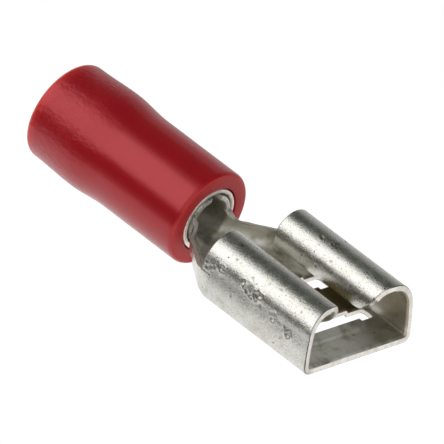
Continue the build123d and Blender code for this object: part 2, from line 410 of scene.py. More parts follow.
@dataclass(frozen=True)
class RedPvc:
    """Plasticised red PVC, extruded and cut to length.

    A smooth, slightly waxy skin: broad soft highlights along the sleeve, faint small marks over
    the swelling from handling in bulk, and a little light that goes into the plastic. A lighter,
    oranger glow at both rounded ends is painted light.
    """

    name: str
    colour: str = "#A50014"
    deep: str = "#960010"
    glow: str = "#D42C22"            # painted light at the rounded ends, for light scattered inside and the front rim's highlight
    roughness: float = 0.25
    specular: float = 1.0
    tint: str = "#FF9396"
    ior: float = 1.66                # the waxy film mirrors more than bare PVC at 1.53
    cloud_mm: float = 1.6
    skin_mm: float = 0.12
    scuff_mm: float = 0.22
    scuff_end_mm: float = 5.2
    scuff_depth_mm: float = 0.034
    skin_depth_mm: float = 0.004

    def material(self) -> bpy.types.Material:
        """Build the plastic's nodes.

        Returns:
            The material.
        """
        material, tree = empty_material(self.name)
        place = add_node(tree, "ShaderNodeTexCoord").outputs["Object"]
        x = add_node(tree, "ShaderNodeSeparateXYZ", {0: place}).outputs["X"]
        drawn_out = add_node(tree, "ShaderNodeMapping", {"Vector": place, "Scale": (0.6, 1.0, 1.0)})
        clouds, skin, scuffs = (
            add_node(tree, "ShaderNodeTexNoise",
                     {"Vector": where, "Scale": 1 / (size * MM), "Detail": detail,
                      "Roughness": roughness})
            for where, size, detail, roughness in (
                (place, self.cloud_mm, 3.0, 0.5),
                (place, self.skin_mm, 2.0, 0.5),
                (drawn_out, self.scuff_mm, 4.0, 0.65),
            )
        )
        marked, rear, front = (
            add_node(tree, "ShaderNodeMapRange",
                     {"Value": x, "From Min": low * MM, "From Max": high * MM,
                      "To Min": least, "To Max": most}, interpolation_type="SMOOTHSTEP")
            for low, high, least, most in (
                (self.scuff_end_mm, 0.4 * self.scuff_end_mm, 0.15, 1.0),
                (0.8, 0.0, 0.0, 0.8),
                (9.75, 9.95, 0.0, 0.4),
            )
        )
        marks = add_node(tree, "ShaderNodeMath", {0: scuffs, 1: marked}, operation="MULTIPLY")
        # Painted light: the rims at both ends get the lighter glow colour.
        ends = add_node(tree, "ShaderNodeMath", {0: rear, 1: front}, operation="MAXIMUM")
        base = linear_colour(self.deep)
        for share, colour in ((clouds, self.colour), (ends, self.glow)):
            base = add_node(tree, "ShaderNodeMix", {0: share, 6: base, 7: linear_colour(colour)},
                            data_type="RGBA").outputs[2]
        rough = add_node(tree, "ShaderNodeMapRange",
                         {"Value": marks, "From Min": 0.3, "From Max": 0.7,
                          "To Min": self.roughness, "To Max": self.roughness + 0.08})
        fine = add_node(tree, "ShaderNodeBump",
                        {"Strength": 0.35, "Distance": self.skin_depth_mm * MM, "Height": skin})
        wide = add_node(tree, "ShaderNodeBump",
                        {"Strength": 0.9, "Distance": self.scuff_depth_mm * MM, "Height": marks,
                         "Normal": fine})
        shader = add_node(tree, "ShaderNodeBsdfPrincipled", {
            "IOR": self.ior, "Specular IOR Level": self.specular,
            "Specular Tint": linear_colour(self.tint), "Subsurface Weight": 0.12,
            "Subsurface Radius": (1.0, 0.15, 0.1), "Subsurface Scale": 0.3 * MM,
            "Base Color": base, "Roughness": rough, "Normal": wide})
        add_node(tree, "ShaderNodeOutputMaterial", {"Surface": shader})
        return material


@dataclass(frozen=True)
class ShapeTree:
    """A Geometry Nodes tree with named inputs, ending in real geometry with its finish set."""

    name: str
    inputs: tuple[tuple[str, int | float], ...]

    def begin(self) -> tuple[bpy.types.GeometryNodeTree, bpy.types.Node]:
        """Make the tree and declare its sockets.

        Returns:
            The tree, and the node that gives what comes in.
        """
        tree = bpy.data.node_groups.new(self.name, "GeometryNodeTree")
        for way in ("INPUT", "OUTPUT"):
            tree.interface.new_socket("Geometry", in_out=way, socket_type="NodeSocketGeometry")
        for name, value in self.inputs:
            kind = "NodeSocketInt" if isinstance(value, int) else "NodeSocketFloat"
            tree.interface.new_socket(name, in_out="INPUT", socket_type=kind).default_value = value
        tree.interface.new_socket("Finish", in_out="INPUT", socket_type="NodeSocketMaterial")
        return tree, tree.nodes.new("NodeGroupInput")

    def end(self, tree: bpy.types.GeometryNodeTree, shape: bpy.types.Node,
            dressing: dict[str, object]) -> bpy.types.GeometryNodeTree:
        """Smooth the shape, make it real and give it its material.

        Args:
            tree: The tree.
            shape: Node that gives the shape.
            dressing: Inputs of the node that sets the material.

        Returns:
            The tree.
        """
        smooth = add_node(tree, "GeometryNodeSetShadeSmooth", {"Geometry": shape})
        real = add_node(tree, "GeometryNodeRealizeInstances", {0: smooth})
        dressed = add_node(tree, "GeometryNodeSetMaterial", {"Geometry": real, **dressing})
        add_node(tree, "NodeGroupOutput", {"Geometry": dressed})
        return tree


@dataclass(frozen=True)
class LatheTree(ShapeTree):
    """Nodes that sweep a closed profile round the X axis and unsettle it a little."""

    name: str = "turned sleeve"
    inputs: tuple[tuple[str, int | float], ...] = (
        ("Steps Round", 160), ("Pivot Radius", 0.0001), ("Unevenness", 0.0),
        ("Unevenness Scale", 400.0), ("Seed", 1.0))

    def build(self) -> bpy.types.GeometryNodeTree:
        """Build the tree.

        Returns:
            The node group, to be shared by every turned piece.
        """
        tree, start = self.begin()
        given = start.outputs
        profile = add_node(tree, "GeometryNodeMeshToCurve", {0: given["Geometry"]})
        circle = add_node(tree, "GeometryNodeCurvePrimitiveCircle",
                          {"Resolution": given["Steps Round"], "Radius": given["Pivot Radius"]})
        swept = add_node(tree, "GeometryNodeCurveToMesh",
                         {"Curve": circle, "Profile Curve": profile})
        turned = add_node(tree, "GeometryNodeTransform",
                          {"Geometry": swept, "Rotation": (0.0, pi / 2, 0.0)})
        place = add_node(tree, "GeometryNodeInputPosition")
        wander = add_node(tree, "ShaderNodeTexNoise",
                          {"Vector": place, "W": given["Seed"], "Scale": given["Unevenness Scale"],
                           "Detail": 2.0}, noise_dimensions="4D")
        inward = wander
        for factor in (given["Unevenness"], -1.0):
            inward = add_node(tree, "ShaderNodeMath", {0: inward, 1: factor}, operation="MULTIPLY")
        across = add_node(tree, "ShaderNodeVectorMath", {0: place, 1: (0.0, 1.0, 1.0)},
                          operation="MULTIPLY")
        radial = add_node(tree, "ShaderNodeVectorMath", {0: across}, operation="NORMALIZE")
        offset = add_node(tree, "ShaderNodeVectorMath", {0: radial, "Scale": inward},
                          operation="SCALE")
        moved = add_node(tree, "GeometryNodeSetPosition", {"Geometry": turned, "Offset": offset})
        return self.end(tree, moved, {"Material": given["Finish"]})


@dataclass(frozen=True)
class PitTree(ShapeTree):
    """Nodes that press scattered small pits into the worn parts of a surface.

    A point attribute called worn says where the pits lie, and one called grime keeps the dark
    marks; the pits add painted shade to it, darker the deeper they are pressed.
    """

    name: str = "scattered pits"
    inputs: tuple[tuple[str, int | float], ...] = (
        ("Density", 1e6), ("Radius", 0.0001), ("Depth", 0.00002), ("Seed", 4))

    def build(self) -> bpy.types.GeometryNodeTree:
        """Build the tree.

        Returns:
            The node group.
        """
        tree, start = self.begin()
        given = start.outputs
        worn, known = (
            add_node(tree, "GeometryNodeInputNamedAttribute", {"Name": name}, data_type="FLOAT")
            for name in ("worn", "grime_and_shade")
        )
        density = add_node(tree, "ShaderNodeMath", {0: worn, 1: given["Density"]},
                           operation="MULTIPLY")
        points = add_node(tree, "GeometryNodeDistributePointsOnFaces",
                          {"Mesh": given["Geometry"], "Density": density, "Seed": given["Seed"]})
        place = add_node(tree, "GeometryNodeInputPosition")
        nearest = add_node(tree, "GeometryNodeSampleNearest", {"Geometry": points}, domain="POINT")
        spread = add_node(tree, "FunctionNodeRandomValue", {2: 0.45, 3: 1.0, "Seed": given["Seed"]},
                          data_type="FLOAT").outputs[1]
        middle, size = (
            add_node(tree, "GeometryNodeSampleIndex",
                     {"Geometry": points, "Value": value, "Index": nearest},
                     data_type=kind, domain="POINT")
            for value, kind in ((place, "FLOAT_VECTOR"), (spread, "FLOAT"))
        )
        away = add_node(tree, "ShaderNodeVectorMath", {0: place, 1: middle}, operation="DISTANCE")
        reach, depth = (
            add_node(tree, "ShaderNodeMath", {0: given[name], 1: size}, operation="MULTIPLY")
            for name in ("Radius", "Depth")
        )
        pressed = add_node(tree, "ShaderNodeMapRange",
                           {"Value": away.outputs["Value"], "From Max": reach, "To Min": depth,
                            "To Max": 0.0}, interpolation_type="SMOOTHSTEP")
        touched = add_node(tree, "ShaderNodeMath", {0: worn, 1: 0.01}, operation="GREATER_THAN")
        amount = add_node(tree, "ShaderNodeMath", {0: pressed, 1: touched}, operation="MULTIPLY")
        inward = add_node(tree, "ShaderNodeMath", {0: amount, 1: -1.0}, operation="MULTIPLY")
        normal = add_node(tree, "GeometryNodeInputNormal")
        offset = add_node(tree, "ShaderNodeVectorMath", {0: normal, "Scale": inward},
                          operation="SCALE")
        moved = add_node(tree, "GeometryNodeSetPosition",
                         {"Geometry": given["Geometry"], "Offset": offset})
        # Painted shade: each pit is drawn darker the deeper it is pressed.
        share = add_node(tree, "ShaderNodeMath", {0: amount, 1: given["Depth"]}, operation="DIVIDE")
        grime_and_shade = add_node(tree, "ShaderNodeMath", {0: known, 1: share}, operation="MAXIMUM")
        darkened = add_node(tree, "GeometryNodeStoreNamedAttribute",
                         {"Geometry": moved, "Name": "grime_and_shade", "Value": grime_and_shade},
                         data_type="FLOAT", domain="POINT")
        slot = add_node(tree, "GeometryNodeInputMaterialIndex")
        plain = add_node(tree, "FunctionNodeCompare", {2: slot, 3: Skin.FACE.value},
                         data_type="INT", operation="EQUAL")
        return self.end(tree, darkened, {"Material": given["Finish"], "Selection": plain})


@dataclass
class TurnedPiece:
    """A piece of revolution round the X axis, swept from a closed profile.

    The profile is swept along a small circle, whose radius is the pivot.
    """

    node: str
    slot: str
    finish: RedPvc | BrightTin
    tree: bpy.types.GeometryNodeTree
    steps_round: int = 200
    pivot: float = 0.1
    unevenness: float = 0.0
    unevenness_mm: float = 2.0
    seed: float = 1.0

    def profile(self) -> list[Pair]:
        """Give the closed profile as places along the axis and radii."""
        raise NotImplementedError

    def build(self) -> bpy.types.Object:
        """Sweep the profile and hand the piece over.

        Returns:
            The finished piece.
        """
        pivot = self.pivot * MM
        loop = self.profile()
        mesh = bpy.data.meshes.new(self.node + "_profile")
        edges = [(i, (i + 1) % len(loop)) for i in range(len(loop))]
        mesh.from_pydata([(radius * MM - pivot, -x * MM, 0.0) for x, radius in loop], edges, [])
        piece = run_tree("visual_" + self.node, mesh, self.tree, {
            "Steps Round": self.steps_round,
            "Pivot Radius": pivot,
            "Unevenness": self.unevenness * MM,
            "Unevenness Scale": 1 / (self.unevenness_mm * MM),
            "Seed": self.seed,
            "Finish": self.finish.material(),
        })
        self.close(piece)
        self.trim(piece)
        return hand_over(piece, self.node)

    def trim(self, piece: bpy.types.Object) -> None:
        """Finish what only one kind of turned piece has."""

    def close(self, piece: bpy.types.Object) -> None:
        """Merge doubles and point every face outwards.

        Args:
            piece: The swept piece.
        """
        shell = bmesh.new()
        shell.from_mesh(piece.data)
        bmesh.ops.remove_doubles(shell, verts=shell.verts, dist=1e-8)
        bmesh.ops.recalc_face_normals(shell, faces=shell.faces)
        shell.to_mesh(piece.data)
        shell.free()


@dataclass
class InsulatingSleeve(TurnedPiece):
    """Red PVC sleeve, swollen over the wire end and straight in front."""

    length: float = 10.0
    radius: float = 2.53
    rear_growth: float = 0.07
    swell_growth: float = 0.155
    swell_peak: float = 2.8
    swell_foot: float = 4.9
    edge_radius: float = 0.28
    entry_chamfer: float = 0.22
    entry_rounding: float = 0.03
    bore: float = 1.73
    wide_bore: float = 1.89
    swell_end: float = 3.7
    swell_taper: float = 0.9
    bore_edge: float = 0.06
    cut_slope: float = 0.75          # faces that point along the axis more than this were sawn
    cut_finish: RedPvc = field(default_factory=lambda: RedPvc(
        "red_pvc_cut_face", colour="#CC3038", deep="#B01822", roughness=0.55, specular=0.5,
        tint="#FFFFFF", ior=1.53, scuff_mm=0.16, skin_depth_mm=0.03))

    def trim(self, piece: bpy.types.Object) -> None:
        """Give the two sawn end faces their rougher finish.

        Args:
            piece: The closed sleeve.
        """
        piece.data.materials.append(self.cut_finish.material())
        for face in piece.data.polygons:
            if abs(face.normal.x) > self.cut_slope:
                face.material_index = 1

    def outside(self, along: float) -> float:
        """Give the outside radius between the rounded ends.

        Args:
            along: Place along the axis.

        Returns:
            The radius there.
        """
        rear = self.radius + self.rear_growth
        peak = self.radius + self.swell_growth
        if along < self.swell_peak:
            share = (along - self.edge_radius) / (self.swell_peak - self.edge_radius)
            return rear + (peak - rear) * smooth_step(share)
        share = (along - self.swell_peak) / (self.swell_foot - self.swell_peak)
        return peak + (self.radius - peak) * smooth_step(share)

    def profile(self) -> list[Pair]:
        """Run round the closed profile from the rear rim to the bore's entry.

        Returns:
            Places along the axis and radii.
        """
        edge, lip, wide = self.edge_radius, self.bore_edge, self.wide_bore
        rear = self.radius + self.rear_growth
        front = self.length - edge
        turns = [k * pi / 16 for k in range(9)]
        points = [(edge * (1 - cos(a)), rear - edge + edge * sin(a)) for a in turns]
        points += [(x, self.outside(x)) for x in divide([edge, self.swell_foot], 0.16)[1:]]
        points += [(x, self.radius) for x in divide([self.swell_foot, front], 0.35)[1:]]
        points += [(front + edge * sin(a), self.radius - edge + edge * cos(a)) for a in turns[1:]]
        points += [(self.length, self.bore + lip), (self.length - 0.3 * lip, self.bore + 0.3 * lip),
                   (self.length - lip, self.bore)]
        taper_end = self.swell_end + self.swell_taper
        points += [(x, self.bore) for x in divide([taper_end, self.length - lip], 0.8)[-2::-1]]
        points += [(self.swell_end, wide), (self.entry_chamfer + 0.08, wide),
                   (self.entry_chamfer, wide + 0.02)]
        points += [(self.entry_rounding, wide + self.entry_chamfer - self.entry_rounding),
                   (0.0, wide + self.entry_chamfer + 0.01)]
        return points


@dataclass
class SupportSleeve(TurnedPiece):
    """Thin metal tube round the barrel, seen as a bright ring in the PVC's front face."""

    start: float = 0.4
    end: float = 9.97
    inside: float = 1.42
    outside: float = 1.67
    swell: float = 0.16
    swell_end: float = 3.7
    swell_taper: float = 0.9
    swell_rounding: float = 0.15
    edge: float = 0.09

    def profile(self) -> list[Pair]:
        """Run round the closed profile of the tube, its front lip rounded.

        Returns:
            Places along the axis and radii.
        """
        foot, soft = self.swell_end + self.swell_taper, self.swell_rounding
        turns = (0.0, pi / 6, pi / 3, pi / 2)
        lip = [(self.end - self.edge * (1 - sin(a)), self.outside - self.edge * (1 - cos(a)))
               for a in turns]
        inner = [(self.end - self.edge * (1 - cos(a)), self.inside + self.edge * (1 - sin(a)))
                 for a in turns]
        wide, wide_bore = self.outside + self.swell, self.inside + self.swell
        return (
            [(self.start, wide), (self.swell_end - soft, wide), (self.swell_end, wide - 0.01),
             (foot, self.outside + 0.01), (foot + soft, self.outside)]
            + [(x, self.outside) for x in divide([foot + soft, self.end - 0.1], 0.6)[1:]]
            + lip + inner
            + [(foot, self.inside), (self.swell_end, wide_bore), (self.start, wide_bore)]
        )


@dataclass(frozen=True)
class Dent:
    """A mark in the sheet's outer face.

    Attributes:
        place: Centre on the surface.
        radius: Radius of the mark.
        depth: Depth at its middle.
        raised: Share of the depth that stands up again round the rim.
    """

    place: Point
    radius: float
    depth: float
    raised: float = 0.0


@dataclass(frozen=True)
class SheetWear:
    """What handling in bulk does to the stamping's outer skin.

    Attributes:
        wave_depth: Depth of the faces' faint waviness.
        wave_pitch: Waves to the millimetre.
        dent_reach: How far a dent is felt, in its radii.
        raggedness: How far a dent's outline departs from a circle.
        ragged_pitch: Steps of ragged outlines and torn edges to the millimetre.
        rim: Middle and half width of the raised rim, in the dent's radii.
        dark_ring: Middle and half width of the darker ring in it, in the dent's radii.
        start: Place along the axis behind which nothing is pitted.
        patch_pitch: Worn patches to the millimetre.
        patch_shift: Where the pattern of the patches starts.
        patch_range: How much is added to that pattern, and the step in which it grows.
        beside: Distance from the middle plane beyond which a place is on a side wall.
        band: Middle and half width of the rubbed level on the near side.
        rear: Middle and half length of the rubbed place on the far curl.
        rear_level: Level where that place starts, and over how much it grows.
        faint: Wornness of places that are hardly rubbed.
        near_top: The same on top of the near curl.
        rubbed: What the band and the rubbed place add to it.
    """

    wave_depth: float = 0.010
    wave_pitch: float = 0.9
    dent_reach: float = 1.8
    raggedness: float = 0.6
    ragged_pitch: float = 6.0
    rim: Pair = (1.15, 0.45)
    dark_ring: Pair = (0.75, 0.5)
    start: float = 13.15
    patch_pitch: float = 0.8
    patch_shift: Point = (3.0, 1.0, 7.0)
    patch_range: Pair = (0.25, 0.5)
    beside: float = 3.0
    band: Pair = (0.6, 0.5)
    rear: Pair = (15.4, 1.3)
    rear_level: Pair = (1.2, 0.4)
    faint: float = 0.12
    near_top: float = 0.16
    rubbed: Pair = (0.50, 0.4)

    def dent(self, place: Vector, dent: Dent) -> Pair:
        """Tell what a dent does at a place.

        Args:
            place: Place in millimetres.
            dent: The dent.

        Returns:
            How far the skin goes inwards, and the share of darkening.
        """
        away = (place - Vector(dent.place)).length / dent.radius
        if away >= self.dent_reach:
            return 0.0, 0.0
        ragged = away * (1 + self.raggedness * noise.noise(place * self.ragged_pitch))
        raised = smooth_step(1 - abs(ragged - self.rim[0]) / self.rim[1])
        depth = dent.depth * (1 - smooth_step(ragged)) - dent.raised * dent.depth * raised
        return depth, smooth_step(1 - abs(ragged - self.dark_ring[0]) / self.dark_ring[1])

    def wornness(self, place: Vector) -> float:
        """Tell how thickly the small pits lie at a place.

        Args:
            place: Place in millimetres.

        Returns:
            0 for none, 1 for the most worn places.
        """
        if place.x < self.start:
            return 0.0
        shifted = place * self.patch_pitch + Vector(self.patch_shift)
        patch = smooth_step((noise.noise(shifted) + self.patch_range[0]) / self.patch_range[1])
        if place.y < 0:
            if abs(place.y) <= self.beside:
                return self.near_top * patch
            band = smooth_step(1 - abs(place.z - self.band[0]) / self.band[1])
            return (self.faint + self.rubbed[0] * band) * patch
        rear = smooth_step(1 - abs(place.x - self.rear[0]) / self.rear[1])
        rear *= smooth_step((place.z - self.rear_level[0]) / self.rear_level[1])
        return (self.faint + self.rubbed[1] * rear) * patch


class Part(Enum):
    """Parts of the stamping's section, each with its own columns."""

    TROUGH = "floor, bend and lower wall, or the barrel's lower part"
    CURL = "upper wall and curl"
    RING = "barrel between the flange's level and the seam"


@dataclass
class TerminalBody:
    """The stamping: rolled barrel, neck and receptacle of one plated sheet."""

    tree: bpy.types.GeometryNodeTree
    node: str = "terminal_body"
    slot: str = "tinned_sheet"
    sheet: float = 0.36
    barrel_radius: float = 1.37
    barrel_start: float = 5.0
    barrel_end: float = 10.0
    seam_gap: float = 0.15
    seam_mouth: float = 0.62
    seam_mouth_length: float = 0.9
    half_width: float = 3.8
    height: float = 3.13
    floor_level: float = -1.26
    wall_lean: float = 4.0
    corner_radius: float = 0.44
    rising_radius: float = 1.35
    falling_radius: float = 1.13
    tip_level: float = 0.02
    curl_start: float = 12.95
    shoulder_end: float = 13.5
    mouth: float = 20.41
    mouth_rake: float = 12.0
    curl_rake: float = 19.0
    rake_ease: float = 0.35
    tip_rounding: float = 0.34
    slit_level: float = 0.10
    rest_rise: float = 0.20
    rest_reach: float = 2.2
    rest_span: Pair = (13.897, 19.201)
    rest_slope: float = 0.238
    rest_corner: float = 0.6
    slots: tuple[Pair, Pair] = ((14.703, 15.651), (17.680, 18.441))
    slot_reach: float = 3.2
    slot_rounding: float = 0.2
    flange_stock: float = 0.35     # level of the flange's edge where the barrel ends
    flange_low: Pair = (10.549, -0.21)
    flange_high: Pair = (12.401, -0.04)
    flange_curve: float = 2.1      # how roundly the flange dips from there to its low point
    # Each station: place, half width, bend radius, share of the barrel's depth, outward flare.
    stations: tuple[tuple[float, float, float, float, float], ...] = (
        (10.0, 1.37, 1.36, 1.00, 0.0),
        (10.797, 1.611, 0.50, 0.73, 24.0),
        (11.387, 2.181, 0.50, 0.45, 19.0),
        (12.095, 2.740, 0.50, 0.09, 19.0),
        (12.95, 3.450, 0.46, 0.00, 10.0),
        (13.5, 3.8, 0.44, 0.00, -4.0),
    )
    soft_start: float = 0.6        # length over which the neck's inner bend softens
    soft_end: float = 1.2          # length over which it hardens again before the receptacle
    barrel_blend: float = 0.5      # length over which the round barrel opens into the trough
    row_step: float = 0.075
    barrel_step: float = 0.14
    seam_share_step: float = 0.06
    floor_step: float = 0.13
    ramp_step: float = 0.055
    bend_step: float = 0.085
    curl_step: float = 0.07
    margin: float = 0.14           # width of the last strip before a border, which stays regular
    tip_zone: float = 1.7          # length of skin at the curl's tip that draws in with its corners
    stretch_start: float = 18.441  # rows in front of this follow the raked front edge
    rollover: float = 0.10         # radius of the outer border
    burr_edge: float = 0.05        # radius of the inner border
    edge_thinning: float = 0.06    # how much thinner the sheet is where it was cut
    edge_gap: float = 0.03         # width of the strips that end the flat cut face
    edge_tear: float = 0.012       # depth to which the shear has torn its middle
    edge_shade: float = 0.95       # painted shade along the rolled outer border
    skin_edge_shade: float = 0.6        # share of that painted shade on the outer skin's last vertices
    reach: float = 3.766           # how far from the middle plane a dent's rim may stand
    wall_bulge: float = 0.022
    bulge_fade: float = 0.8        # length over which the walls' swelling grows from the rear
    bulge_limit: float = 1.0       # only skin this far outside the curls' middle swells
    neck_softness: float = 0.45
    tip_sweep: float = 1.1
    finish: BrightTin = field(default_factory=lambda: BrightTin("bright_tin_plating"))
    inner_finish: BrightTin = field(default_factory=lambda: BrightTin(
        "dull_tin_inside", colour="#C6C3B5", shade="#AFAB9B", roughness=0.55, spot_share=0.85,
        grain_depth_mm=0.008, wave_depth_mm=0.008, pore_share=0.15, patchiness=1.0,
        bridge_shade=1.0))
    edge_finish: ShearedEdge = field(default_factory=lambda: ShearedEdge("sheared_tinned_edge"))
    pits_per_mm2: float = 4.5
    pit_radius: float = 0.13
    pit_depth: float = 0.05
    pit_seed: int = 4
    wear: SheetWear = SheetWear()
    dents: tuple[Dent, ...] = (
        Dent((13.12, -3.620, 0.62), 0.12, 0.050, 0.3),
        Dent((13.25, -3.650, 0.40), 0.14, 0.060, 0.3),
        Dent((13.42, -3.660, 0.52), 0.12, 0.050, 0.3),
        Dent((13.62, -3.650, 0.62), 0.11, 0.050, 0.3),
        Dent((14.03, -3.652, 0.754), 0.18, 0.085, 0.3),
        Dent((14.22, -3.655, 0.72), 0.11, 0.068, 0.2),
        Dent((15.44, -3.640, 0.86), 0.13, 0.085, 0.3),
        Dent((15.58, -3.655, 0.72), 0.12, 0.085, 0.3),
        Dent((15.76, -3.668, 0.62), 0.11, 0.068, 0.2),
        Dent((16.11, -3.674, 0.54), 0.13, 0.085, 0.3),
        Dent((16.38, -3.650, 0.76), 0.20, 0.120, 0.4),
        Dent((16.60, -3.640, 0.82), 0.15, 0.085, 0.3),
        Dent((16.42, -3.672, 0.56), 0.13, 0.085, 0.3),
        Dent((17.73, -3.693, 0.27), 0.14, 0.085, 0.3),
        Dent((18.49, -3.687, 0.36), 0.09, 0.051, 0.2),
        Dent((18.81, -3.708, 0.06), 0.17, 0.102, 0.4),
        Dent((15.09, -3.718, -0.09), 0.08, 0.051, 0.0),
        Dent((14.45, -3.293, 1.458), 0.06, 0.051, 0.0),
        Dent((16.63, -3.293, 1.458), 0.05, 0.051, 0.0),
        Dent((18.87, -3.386, 1.351), 0.07, 0.051, 0.0),
        Dent((15.13, 1.917, 1.795), 0.12, 0.068, 0.2),
        Dent((15.79, 1.936, 1.802), 0.11, 0.068, 0.2),
    )

    def curl_middle(self) -> float:
        """Find the middle of the curls' circles.

        Returns:
            Its distance from the middle plane.
        """
        lean = radians(self.wall_lean)
        return (self.half_width - self.rising_radius / cos(lean)
                - (self.height - self.rising_radius) * tan(lean))

    def curl_top(self) -> float:
        """Level of the top of the curls."""
        return self.floor_level + self.height

    def floor_half(self) -> float:
        """Half width of the receptacle's flat floor."""
        return self.half_width - self.corner_radius * tan(radians(90 + self.wall_lean) / 2)

    def flange_top(self, x: float) -> float:
        """Level to which the flange stands.

        Args:
            x: Place along the axis.

        Returns:
            The level of the sheet's upper edge there.
        """
        if x <= self.barrel_end:
            return self.flange_stock
        low_x, low_z = self.flange_low
        high_x, high_z = self.flange_high
        if x < low_x:
            t = (x - self.barrel_end) / (low_x - self.barrel_end)
            dip = 1 - sqrt(1 - (1 - t) ** self.flange_curve)
            return low_z + (self.flange_stock - low_z) * dip
        if x < high_x:
            return low_z + (high_z - low_z) * (x - low_x) / (high_x - low_x)
        share = (x - high_x) / (self.curl_start - high_x)
        return high_z + (self.slit_level - high_z) * min(share, 1.0)

    def trough_point(self, x: float, share: float, inset: float = 0.0) -> Pair:
        """Point of a skin between mid floor and the flange's upper edge.

        Args:
            x: Place along the axis.
            share: Share of the section's length, 0 in the middle of the floor.
            inset: Depth under the outer skin.

        Returns:
            Its distance from the middle plane, and its level.
        """
        radius = self.barrel_radius
        turn = asin(self.flange_stock / radius)
        angle = share * (pi / 2 + turn)
        ring = ((radius - inset) * sin(angle), -(radius - inset) * cos(angle))
        if x <= self.barrel_end:
            return ring
        places = [s[0] for s in self.stations]
        half, bend, fall, flare = (
            smooth_through(places, [s[k] for s in self.stations], x) for k in (1, 2, 3, 4)
        )
        under = self.floor_level - (radius + self.floor_level) * fall
        turned = radians(90 - flare)
        flat = half - bend * tan(turned / 2)
        rise = (self.flange_top(x) - under - bend * (1 - cos(turned))) / sin(turned)
        way = share * (flat + bend * turned + rise)
        soft = smooth_step((x - self.barrel_end) / self.soft_start)
        soft *= smooth_step((self.shoulder_end - x) / self.soft_end)
        soft = min(self.neck_softness * soft * inset / self.sheet, 0.9 * flat / tan(turned / 2))
        inner = bend - inset + soft
        level = under + inset
        start = flat - soft * tan(turned / 2)
        end = (start + inner * sin(turned), level + inner * (1 - cos(turned)))
        if way <= flat:
            point = (way * start / flat, level)
        elif way <= flat + bend * turned:
            a = (way - flat) / bend
            point = (start + inner * sin(a), level + inner * (1 - cos(a)))
        else:
            rest = (way - flat - bend * turned) / rise
            run = (self.flange_top(x) - end[1]) / sin(turned) * rest
            point = (end[0] + run * cos(turned), end[1] + run * sin(turned))
        blend = smooth_step((x - self.barrel_end) / self.barrel_blend)
        return ring[0] + (point[0] - ring[0]) * blend, ring[1] + (point[1] - ring[1]) * blend

    def trough_shares(self) -> list[float]:
        """Share out the section's length among its columns.

        Returns:
            The share at which each column stands, the slots' ends among them.
        """
        flat = self.floor_half()
        lean = radians(self.wall_lean)
        ramp_start, ramp_end = self.rest_reach - self.rest_slope - 0.05, self.rest_reach + 0.03
        inner = self.slot_reach - self.slot_rounding
        across = divide([0.0, ramp_start], self.floor_step)
        across += divide([ramp_start, ramp_end], self.ramp_step)[1:]
        across += divide([ramp_end, inner, inner + self.slot_rounding / 2, self.slot_reach, flat],
                         self.floor_step)[1:]
        bend = self.corner_radius * radians(90 + self.wall_lean)
        wall = self.slit_level - (self.floor_level + self.corner_radius * (1 + sin(lean)))
        total = flat + bend + wall / cos(lean)
        ways = across + divide([flat, flat + bend], self.bend_step)[1:]
        ways += divide([flat + bend, total], self.curl_step)[1:]
        return [w / total for w in ways]

    def curl_way(self) -> float:
        """Length of the outer skin from the slit's level to the curl's tip."""
        return sum(self.curl_runs())

    def curl_runs(self) -> tuple[float, float, float]:
        """Measure the outer skin above the slit's level.

        Returns:
            Lengths of the wall, of the rising curl and of the falling curl.
        """
        lean = radians(self.wall_lean)
        wall_top = self.curl_top() - self.rising_radius * (1 - sin(lean))
        wall = (wall_top - self.slit_level) / cos(lean)
        past = asin((self.curl_top() - self.falling_radius - self.tip_level) / self.falling_radius)
        return wall, self.rising_radius * (pi / 2 - lean), self.falling_radius * (pi / 2 + past)

    def curl_point(self, way: float, inset: float = 0.0) -> Pair:
        """Point of a skin between the slit's level and the curl's tip.

        Args:
            way: Distance along the outer skin from the slit's level.
            inset: Depth under the outer skin.

        Returns:
            Its distance from the middle plane, and its level.
        """
        lean = radians(self.wall_lean)
        wall, rising, _ = self.curl_runs()
        middle = self.curl_middle()
        if way <= wall:
            level = self.slit_level + way * cos(lean)
            drop = self.curl_top() - self.rising_radius - level
            reach = (self.rising_radius - inset) / cos(lean)
            return middle + reach + drop * tan(lean), level
        if way <= wall + rising:
            a = pi / 2 - lean - (way - wall) / self.rising_radius
            reach = self.rising_radius
        else:
            a = -(way - wall - rising) / self.falling_radius
            reach = self.falling_radius
        return (middle + (reach - inset) * sin(a),
                self.curl_top() - reach + (reach - inset) * cos(a))

    def front(self, y: float, z: float) -> float:
        """Place of the raked front edge.

        Args:
            y: Distance from the middle plane.
            z: Level.

        Returns:
            Its place along the axis.
        """
        raked = self.mouth - (z - self.floor_level) * tan(radians(self.mouth_rake))
        if z < self.tip_level - 0.01 or y >= self.curl_middle():
            return raked
        top = self.mouth - self.height * tan(radians(self.mouth_rake))
        inwards, ease = self.curl_middle() - y, self.rake_ease
        run = inwards ** 2 / (2 * ease) if inwards < ease else inwards - ease / 2
        return min(raked, top - run * tan(radians(self.curl_rake)))

    def stretched(self, x: float, y: float, z: float) -> float:
        """Move a row's place so that the last row lies on the raked front edge.

        Args:
            x: Place of the row at the floor.
            y: Distance from the middle plane.
            z: Level.

        Returns:
            The place along the axis at that column.
        """
        if x <= self.stretch_start:
            return x
        share = (x - self.stretch_start) / (self.mouth - self.stretch_start)
        return self.stretch_start + share * (self.front(y, z) - self.stretch_start)

    def rise(self, x: float, y: float) -> float:
        """Height of the raised tab rest over the floor.

        Args:
            x: Place along the axis.
            y: Distance from the middle plane.

        Returns:
            How far the sheet is pressed up there.
        """
        low, high = self.rest_span
        corner = self.rest_corner
        dx = abs(x - (low + high) / 2) - (high - low) / 2 + corner
        dy = abs(y) - self.rest_reach + corner
        outside = hypot(max(dx, 0.0), max(dy, 0.0)) + min(max(dx, dy), 0.0) - corner
        return self.rest_rise * smooth_step(-outside / self.rest_slope)

